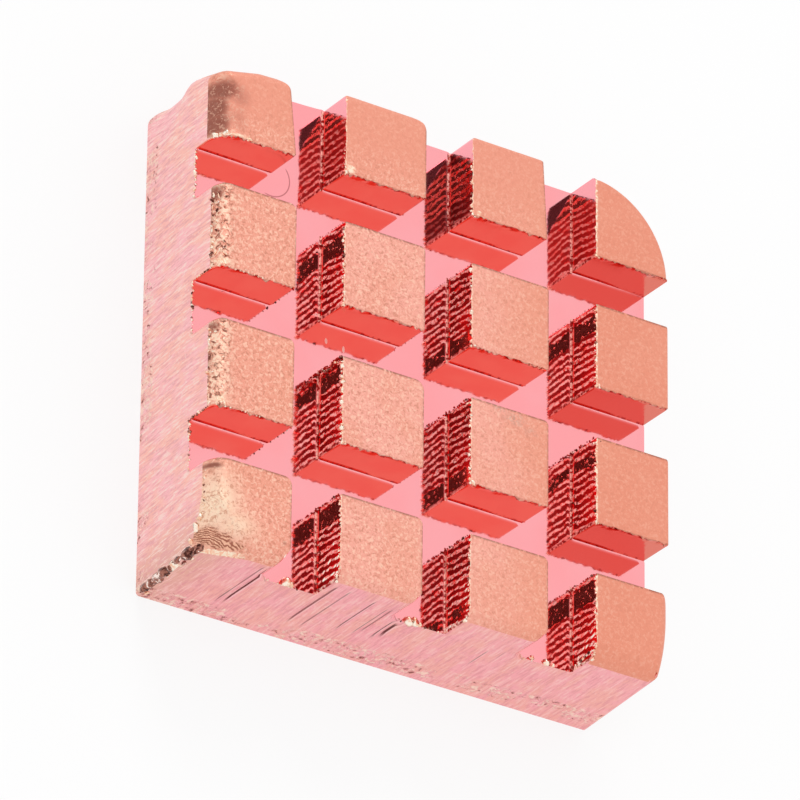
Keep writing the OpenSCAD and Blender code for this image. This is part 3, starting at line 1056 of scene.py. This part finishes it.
# %% Ground side finishes
def ground_side(name, along, pink, orange, depth, mark=0.5, pitted=0.5):
    """A side with upright grinding lines; along is the axis the side runs along."""
    side = Finish(name)
    packed = {"x": 1.0, "y": 1.0, "z": 2.0}
    packed[along] = 17.0
    lines = side.grain(1.0, 3.0, 0.65, where=side.stretch(**packed))
    coarse = {"x": 0.6, "y": 0.6, "z": 0.35}
    coarse[along] = 3.0
    bands = side.grain(1.0, 3.0, 0.6, where=side.stretch(shift=4.0, **coarse))
    cloud = side.grain(0.8, 5.0, 0.65)
    crumbs = side.grain(9.0, 2.0, 0.6)
    base = side.mix((cloud * 0.6 + bands * 0.4).rise(0.42, 0.58), pink, orange)
    corner = ((side.x - LEFT) ** 2.0 + (side.y - FRONT) ** 2.0) ** 0.5
    singed = (corner + 1.2 * (cloud - 0.5) + 0.25 * (crumbs - 0.5)).rise(1.7, 0.15)
    base = side.mix(singed * 0.75, base, (0.80, 0.44, 0.34))
    dark = (pink[0] * 0.84, pink[1] * 0.75, pink[2] * 0.75)
    light = (1.0, min(pink[1] * 1.42, 1.0), min(pink[2] * 1.25, 1.0))
    lined = side.mix(lines.rise(0.48, 0.38) * mark, base, dark)
    lined = side.mix(lines.rise(0.54, 0.62) * mark, lined, light)
    lined = side.mix(crumbs.rise(0.60, 0.68) * mark * 0.6, lined, light)
    # a band of torn pits just above the underside, each with a painted cream highlight on its lip and
    # painted shade in its core
    level = side.z - 0.03 * side.x
    band = level.rise(0.10, 0.35) * level.rise(0.95, 0.65)
    band = band * side.grain(0.9, 2.0).rise(0.42, 0.58) * pitted + 0.10
    torn = side.grain(5.5, 3.0, 0.6, 0.6)
    pits = torn.rise(0.55, 0.66) * band.rise(0.12, 0.40)
    lips = torn.rise(0.47, 0.38) * band.rise(0.12, 0.40)
    colour = side.mix(lips * 0.7, lined, (1.0, 0.74, 0.60))
    colour = side.mix(pits * 0.75, colour, (0.62, 0.19, 0.16))
    # painted shade in the deepest part of each pit
    colour = side.mix(torn.rise(0.62, 0.70) * band.rise(0.15, 0.40) * 0.9, colour, (0.20, 0.045, 0.035))
    grooves = side.relief(lines, depth)
    side.finish(colour, 0.36 + 0.12 * lines, side.relief(lips - pits, 0.022, below=grooves))
    return side, colour


ground_side("left_side", "y", (1.0, 0.53, 0.55), (1.0, 0.54, 0.46), 0.012, 0.8, 1.3)
ground_side("right_side", "y", (0.90, 0.45, 0.44), (0.88, 0.43, 0.35), 0.010)
ground_side("back_side", "x", (0.90, 0.46, 0.46), (0.88, 0.43, 0.35), 0.010)
ground_side("underside", "x", (0.92, 0.46, 0.44), (0.90, 0.44, 0.36), 0.008)

# %% [markdown]
# ## The front side and its scratches
# The front is ground like the others, and the scratches cut into it get dark red painted shade
# inside and a painted highlight along their right edge. They follow the same list that cut the
# grooves.

# %% Front side finish
side, colour = ground_side("front_side", "x", (0.96, 0.42, 0.45), (0.94, 0.44, 0.39), 0.014, 0.7, 1.4)
groove_shade, glint = None, None
for at, low, high, width, depth in SCRATCHES:
    off = side.x - at
    reach = side.z.rise(low, low + 0.4) * side.z.rise(high, high - 0.3) * min(depth / 0.06, 1.0)
    line = off.size().rise(width * 0.55, width * 0.35) * reach
    edge = off.rise(width * 0.45, width * 0.65) * off.rise(width * 1.1, width * 0.8) * reach
    groove_shade = line if groove_shade is None else groove_shade.most(line)
    glint = edge if glint is None else glint.most(edge)
# painted highlight along the right edge of each groove, then painted shade inside it
colour = side.mix(glint * 0.6, colour, (1.0, 0.66, 0.66))
side.finish(side.mix(groove_shade * 0.95, colour, (0.13, 0.020, 0.020)), None)

# %% [markdown]
# ## Torn lips and beads
# Along the edges the cutter left tiny beads and curls of metal. One bead is modelled from a ball by
# moving its points, and each copy is squeezed and turned its own way. They are joined into one
# piece, sunk halfway into the skin, because on the part they are the same metal.

# %% One bead
start_clean()
bpy.ops.mesh.primitive_ico_sphere_add(subdivisions=2, radius=0.5)
bead = bpy.context.object
bead.name = "bead"
ball = points_of(bead.data)
ball *= 1 + 0.30 * wander(ball, 2.2, 5)[:, None]
bead.data.vertices.foreach_set("co", ball.ravel())
for face in bead.data.polygons:
    face.use_smooth = True
BRIGHT, BURNT, RED = 0, 1, 2
for name in ("bright_lip", "burnt_lip", "red_lip"):
    bead.data.materials.append(bpy.data.materials.new(name))
print("faces in a bead:", len(bead.data.polygons))

# %% [markdown]
# ## How a row of beads is laid
# The beads sit in rows along the edges. A row is asked for by its two ends, its pitch and the size
# of its beads, and chance makes the places, sizes and turns uneven. The list is filled first, and
# the copies are made from it afterwards.

# %% Rows of beads
chance = np.random.default_rng(11)
beads = []


def row_of_beads(start, end, pitch, size, dark=0.0, spread=0.015, shape=(1, 1, 1), shade=BRIGHT):
    """Beads along a line, with their sizes and places a little uneven."""
    start, end = Vector(start), Vector(end)
    count = max(int((end - start).length / pitch), 1)
    for k in range(count + 1):
        spot = start.lerp(end, min(max((k + chance.uniform(-0.3, 0.3)) / count, 0), 1))
        spot += Vector(chance.uniform(-spread, spread, 3))
        girth = size * chance.uniform(0.5, 1.35) * chance.uniform(0.75, 1.25, 3) * shape
        kind = BURNT if chance.random() < dark else shade
        beads.append((spot, girth, chance.uniform(0, math.pi), kind))


print("kinds of bead:", BRIGHT, BURNT, RED)

# %% [markdown]
# ## Beads on the inner pins
# A torn lip runs along the left edge of each inner pin, a few beads hang from its front left
# corner, and red nodules run down its back left upright edge. The middle pin of the second row is
# torn most, so it gets two more rows of nodules.

# %% Beads on the inner pins
# column and row of the pin: pitch, size and share of dark beads in its lip
LIPS = {(1, 1): (0.15, 0.14, 0.12), (1, 2): (0.14, 0.10, 0.25), (2, 2): (0.30, 0.14, 0.10),
        (2, 1): (0.17, 0.09, 0.10), (2, 3): (0.20, 0.10, 0.10)}
OTHER_LIPS = (0.14, 0.075, 0.15)
# share of the pin's depth that the lip runs along, by column in the back row
LIP_REACH, BACK_ROW_REACH = 0.93, (0, 0.30, 0.62, 0.0)
NODULES, MOST_NODULES = (0.07, 0.07, 0.035, 0.035), 0.12
for row in range(PINS):
    y = PIN_STARTS[row]
    for column in range(1, PINS):
        x = PIN_STARTS[column]
        pitch, size, dark = LIPS.get((column, row), OTHER_LIPS)
        back = y + PIN * (LIP_REACH if row < PINS - 1 else BACK_ROW_REACH[column])
        if back > y:
            front = y + (0.12 if row > 0 else 0.30)
            row_of_beads((x - 0.005, front, TOP - 0.04), (x - 0.005, back, TOP - 0.04),
                         pitch, size, dark)
        if row > 0:
            row_of_beads((x + 0.01, y + 0.02, TOP - 0.05), (x + 0.12, y + 0.04, TOP - 0.05), 0.08, 0.15)
        else:
            row_of_beads((x + 0.02, y + 0.14, TOP - 0.16), (x + 0.06, y + 0.05, TOP - 0.28), 0.08, 0.13)
        if row < PINS - 1:
            size = MOST_NODULES if (column, row) == (1, 1) else NODULES[row]
            row_of_beads((x, y + PIN, TOP - 0.12), (x, y + PIN, FLOOR + 0.08), 0.10, size, 0.2, 0.02,
                         shade=RED)
# a flap torn back over the back left corner of the second row's pins, by column and reach
for column, reach in ((1, 0.24), (2, 0.14), (3, 0.10)):
    x, y = PIN_STARTS[column] + 0.08, PIN_STARTS[1] + PIN - 0.16
    row_of_beads((x + 0.04, y, TOP - 0.05), (x - reach, y, TOP - 0.95 * reach), 0.06, 0.07)
    # a row of dark beads just above each flap stands as its painted shadow
    row_of_beads((x + 0.10, y + 0.06, TOP - 0.02), (x - 0.5 * reach, y + 0.06, TOP - 0.5 * reach),
                 0.06, 0.05, 1.0)
x = PIN_STARTS[1]
for across in (0.06, 0.15):
    y = PIN_STARTS[1] + PIN - across
    row_of_beads((x, y, TOP - 0.2), (x, y, FLOOR + 0.1), 0.13, 0.10, 0.15, 0.04, shade=RED)
# red nodules down the front right upright edges of the two left columns, by column and size
for row in (1, 2):
    for column, size in ((0, 0.05), (1, 0.02)):
        x, y = PIN_STARTS[column] + PIN - 0.01, PIN_STARTS[row] + 0.01
        row_of_beads((x, y, TOP - 0.1), (x, y, FLOOR + 0.1), 0.16, size, 0.5, 0.01, shade=RED)
print("beads on the inner pins:", len(beads))

# %% [markdown]
# ## Beads around the outside
# The cutter left the block through its left and front sides, so beads hang along the left pins'
# front edges and along the mouth of each channel. A few single large ones sit at the front.

# %% Beads around the outside
for row in (1, 2):
    y = PIN_STARTS[row]
    row_of_beads((LEFT + 0.05, y + 0.10, TOP - 0.30), (LEFT + 0.38, y + 0.08, TOP - 0.06), 0.09, 0.13)
    row_of_beads((LEFT + 0.03, y + 0.02, FLOOR + 0.1), (LEFT + 0.03, y + 0.02, TOP - 0.35), 0.10, 0.07, 0.6)
    row_of_beads((LEFT + 0.4, y + 0.02, TOP - 0.03), (LEFT + 1.5, y + 0.01, TOP - 0.02), 0.12, 0.06, 0.1)
y = PIN_STARTS[3]
row_of_beads((LEFT + 0.10, y + 0.05, TOP - 0.38), (LEFT + 0.32, y + 0.07, TOP - 0.14), 0.06, 0.15)
row_of_beads((LEFT + 0.32, y + 0.07, TOP - 0.14), (LEFT + 1.00, y + 0.04, TOP - 0.03), 0.07, 0.13)
for start in PIN_STARTS[:-1]:
    mouth = start + PIN
    row_of_beads((LEFT + 0.02, mouth + 0.05, FLOOR - 0.02),
                 (LEFT + 0.02, mouth + CHANNEL - 0.05, FLOOR - 0.02), 0.085, 0.085, 0.35)
    row_of_beads((mouth + 0.05, FRONT + 0.02, FLOOR - 0.02),
                 (mouth + CHANNEL - 0.1, FRONT + 0.02, FLOOR - 0.02), 0.11, 0.06, 0.2)
# x, z and size of the larger beads at the mouths of the front channels
MOUTH_BEADS = ((-4.39, 2.90, 0.24), (-4.25, 2.86, 0.15), (-0.45, 2.86, 0.26), (-0.28, 2.84, 0.22),
               (-0.12, 2.80, 0.15), (3.55, 2.86, 0.10), (4.05, 2.84, 0.16), (4.30, 2.82, 0.15))
for x, z, size in MOUTH_BEADS:
    row_of_beads((x, FRONT + 0.05, z), (x + 0.05, FRONT + 0.05, z), 0.2, size)
x = PIN_STARTS[3]
row_of_beads((x - 0.02, FRONT + 0.12, 3.05), (x + 0.02, FRONT + 0.30, 3.75), 0.10, 0.10, 0.3)
print("with the beads around the outside:", len(beads))

# %% [markdown]
# ## The belt and the curls
# The crushed front left corner ends in a belt of folded, burnt lumps down to the underside, and
# torn curls lie along the worn left edges of the two middle pins. Both are rows of stretched beads,
# so each is a short table.

# %% Belt and curls
# ends of each row from the corner at the underside, then pitch, size, share dark, spread, stretch
BELT = [((0.22, 0.07, 0.16), (0.07, 0.08, 3.10), 0.13, 0.20, 0.9, 0.04, (1.0, 1.0, 2.4)),
        ((0.18, 0.06, 0.35), (0.04, 0.06, 2.90), 0.40, 0.24, 0.8, 0.04, (0.9, 0.9, 1.8)),
        ((0.30, 0.03, 0.30), (0.16, 0.03, 2.95), 0.24, 0.11, 0.3, 0.05, (1.4, 0.8, 1.8))]
# how far in a row starts and ends and how far down it lies, then the same five
CURLS = [(0.03, 0.03, 0.29, 0.10, 0.09, 0.35, 0.03, (1.7, 0.8, 0.8)),
         (0.11, 0.11, 0.15, 0.13, 0.08, 0.3, 0.05, (2.0, 0.6, 0.7)),
         (0.26, 0.24, 0.05, 0.15, 0.07, 0.15, 0.08, (1.9, 0.6, 0.6))]


def from_corner(spot):
    """A spot given from the block's front left corner at the underside."""
    return LEFT + spot[0], FRONT + spot[1], spot[2]


for start, end, *habit in BELT:
    row_of_beads(from_corner(start), from_corner(end), *habit)
row_of_beads((LEFT + 0.03, -6.55, 3.40), (LEFT + 0.03, -7.20, 3.06), 0.12, 0.19, 0.10, 0.03,
             (0.8, 1.6, 0.9))
for row in (1, 2):
    y = PIN_STARTS[row]
    for start, end, down, *habit in CURLS:
        row_of_beads((LEFT + start, y + 0.35, TOP - down), (LEFT + end, y + PIN - 0.30, TOP - down),
                     *habit)
row_of_beads((LEFT + 0.02, -6.4, 3.55), (LEFT + 0.06, -5.3, 3.60), 0.12, 0.08, 0.12, 0.02,
             (0.8, 1.2, 0.9))
print("all beads:", len(beads))

# %% [markdown]
# ## Copy the bead and join the copies
# Each bead is a copy of the first one with its points moved in or out a little by chance, then
# squeezed, turned and set in its place, which follows the uneven cuts like the skin does. Joined,
# they are one piece that can be taken off the sink or kept.

# %% Copy, squeeze and join
pieces = []
for spot, girth, angle, shade in beads:
    copy = bead.copy()
    copy.data = bead.data.copy()
    spot = Vector(true_place(spot))
    shape = Matrix.Translation(spot) @ Matrix.Rotation(angle, 4, "Z") @ Matrix.Diagonal((*girth, 1.0))
    for corner in copy.data.vertices:
        corner.co *= chance.uniform(0.72, 1.18)
    copy.data.transform(Matrix.Scale(1 / TO_MM, 4) @ shape)
    for face in copy.data.polygons:
        face.material_index = shade
    bpy.context.collection.objects.link(copy)
    pieces.append(copy)
bpy.data.objects.remove(bead)
start_clean()
for piece in pieces:
    piece.select_set(True)
burrs = pieces[0]
bpy.context.view_layer.objects.active = burrs
bpy.ops.object.join()
burrs.name = "edge_burrs"
burrs.data.name = "edge_burrs"
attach(burrs, "root")
print("triangles in the burrs:", len(burrs.data.polygons))

# %% [markdown]
# ## Bead finishes
# Fresh torn copper is bright and cream, the beads on the burnt edges are nearly black with painted
# cream highlights, and the nodules down the walls are deep red. Each is one noise between two colours.

# %% Bead finishes
lip = Finish("bright_lip")
lumpy = lip.grain(8.0, 2.0)
colour = lip.mix(lumpy.rise(0.40, 0.60), (0.94, 0.55, 0.38), (1.0, 0.88, 0.74))
lip.finish(colour, 0.30, lip.relief(lumpy, 0.01))
lip = Finish("burnt_lip")
lumpy = lip.grain(4.0, 3.0, 0.6, 1.2)
colour = lip.mix(lumpy.rise(0.40, 0.56), (0.085, 0.026, 0.020), (0.42, 0.17, 0.125))
# painted highlights: cream flecks on the dark lumps
colour = lip.mix(lumpy.rise(0.58, 0.64), colour, (1.0, 0.84, 0.76))
lip.finish(colour, 0.30, lip.relief(lumpy, 0.012))
lip = Finish("red_lip")
lumpy = lip.grain(10.0, 2.0)
colour = lip.mix(lumpy.rise(0.54, 0.64), (0.42, 0.016, 0.013), (1.0, 0.46, 0.36))
lip.finish(colour, 0.36, lip.relief(lumpy, 0.012))

# %% [markdown]
# ## The table
# The sink stands on a pale table. The camera and the copper's mirrors see it mostly glowing, so it
# stays an even white, and only its shadows are its own.

# %% Table
start_clean()
TABLE = 0.6
bpy.ops.mesh.primitive_plane_add(size=TABLE)
table = bpy.context.object
table.name = "table"
paper = bpy.data.materials.new("pale_table")
paper.use_nodes = True
tree = paper.node_tree
tree.nodes.clear()
seen = add_node(tree, "ShaderNodeLightPath", {}, {}, out=0)
mirrored = add_node(tree, "ShaderNodeLightPath", {}, {}, out=3)
matte = add_node(tree, "ShaderNodeBsdfDiffuse", {}, {"Color": (0.92, 0.92, 0.92, 1)})
glow = add_node(tree, "ShaderNodeEmission", {}, {"Color": (1, 1, 1, 1), "Strength": 1.0})
surface = add_node(tree, "ShaderNodeMixShader", {}, [(seen + mirrored).least(1) * 0.8, matte, glow])
output = tree.nodes.new("ShaderNodeOutputMaterial")
tree.links.new(surface.socket, output.inputs["Surface"])
table.data.materials.append(paper)
print("table:", TABLE, "m wide")

# %% [markdown]
# ## The sky
# Metal shows what it reflects, so the sky is as important as the lamp: it is white, with one dark
# screen to the back left and high up. The bare walls that face left mirror that screen by way of
# the floor and go dark, and their ridges break the dark up.

# %% Sky
SCREEN = (-0.489, 0.463, 0.739)
SCREEN_EDGE, SCREEN_CORE = math.radians(18), math.radians(11)
WHITE, DARK = (1.0, 1.0, 1.0, 1), (0.07, 0.06, 0.06, 1)
world = bpy.data.worlds.new("studio")
bpy.context.scene.world = world
world.use_nodes = True
tree = world.node_tree
sky = tree.nodes["Background"]
gaze = add_node(tree, "ShaderNodeTexCoord", {}, {}, out=0)
facing = add_node(tree, "ShaderNodeVectorMath", {"operation": "DOT_PRODUCT"},
                  {0: gaze, 1: SCREEN}, out=1)
screen = facing.rise(math.cos(SCREEN_EDGE), math.cos(SCREEN_CORE))
shade = add_node(tree, "ShaderNodeMix", {"data_type": "RGBA"}, {0: screen, 6: WHITE, 7: DARK}, out=2)
tree.links.new(shade.socket, sky.inputs["Color"])
print("the screen is", round(2 * math.degrees(SCREEN_EDGE)), "degrees across")

# %% [markdown]
# ## The lamp
# One large round lamp stands behind the sink and high up, turned towards it. Its width keeps the
# edges of the shadows soft.

# %% Lamp
LAMP_AT = Vector((-0.10, 0.42, 0.30))
LAMP_SIZE, LAMP_POWER = 0.25, 0.5
start_clean()
bpy.ops.object.light_add(type="AREA", location=LAMP_AT)
lamp = bpy.context.object
lamp.data.shape = "DISK"
lamp.data.size = LAMP_SIZE
lamp.data.energy = LAMP_POWER
lamp.rotation_euler = LAMP_AT.to_track_quat("Z", "Y").to_euler()
print("lamp:", LAMP_SIZE, "m across at", round(LAMP_AT.length, 2), "m")

# %% [markdown]
# ## The camera
# A long lens from the front left, high up and rolled far over, so that the sink's upright edges
# lean across the picture.

# %% Camera
AIM = Vector((-0.0000686, -0.0001759, 0.001844))
LOOK = Vector((0.48943, 0.46306, -0.73894)).normalized()
ROLLED_UP = Vector((-0.26489, 0.88627, 0.37993))
DISTANCE, LENS, SENSOR, NEAREST = 0.25, 407.75, 36, 0.01
start_clean()
bpy.ops.object.camera_add()
camera = bpy.context.object
side = LOOK.cross(ROLLED_UP).normalized()
up = side.cross(LOOK)
turn = Matrix((side, up, -LOOK)).transposed().to_4x4()
camera.matrix_world = Matrix.Translation(AIM - LOOK * DISTANCE) @ turn
camera.data.sensor_width = SENSOR
camera.data.lens = LENS
camera.data.clip_start = NEAREST
bpy.context.scene.camera = camera
bpy.context.scene.view_settings.view_transform = "Standard"
print("camera:", DISTANCE, "m away, lens", LENS, "mm")
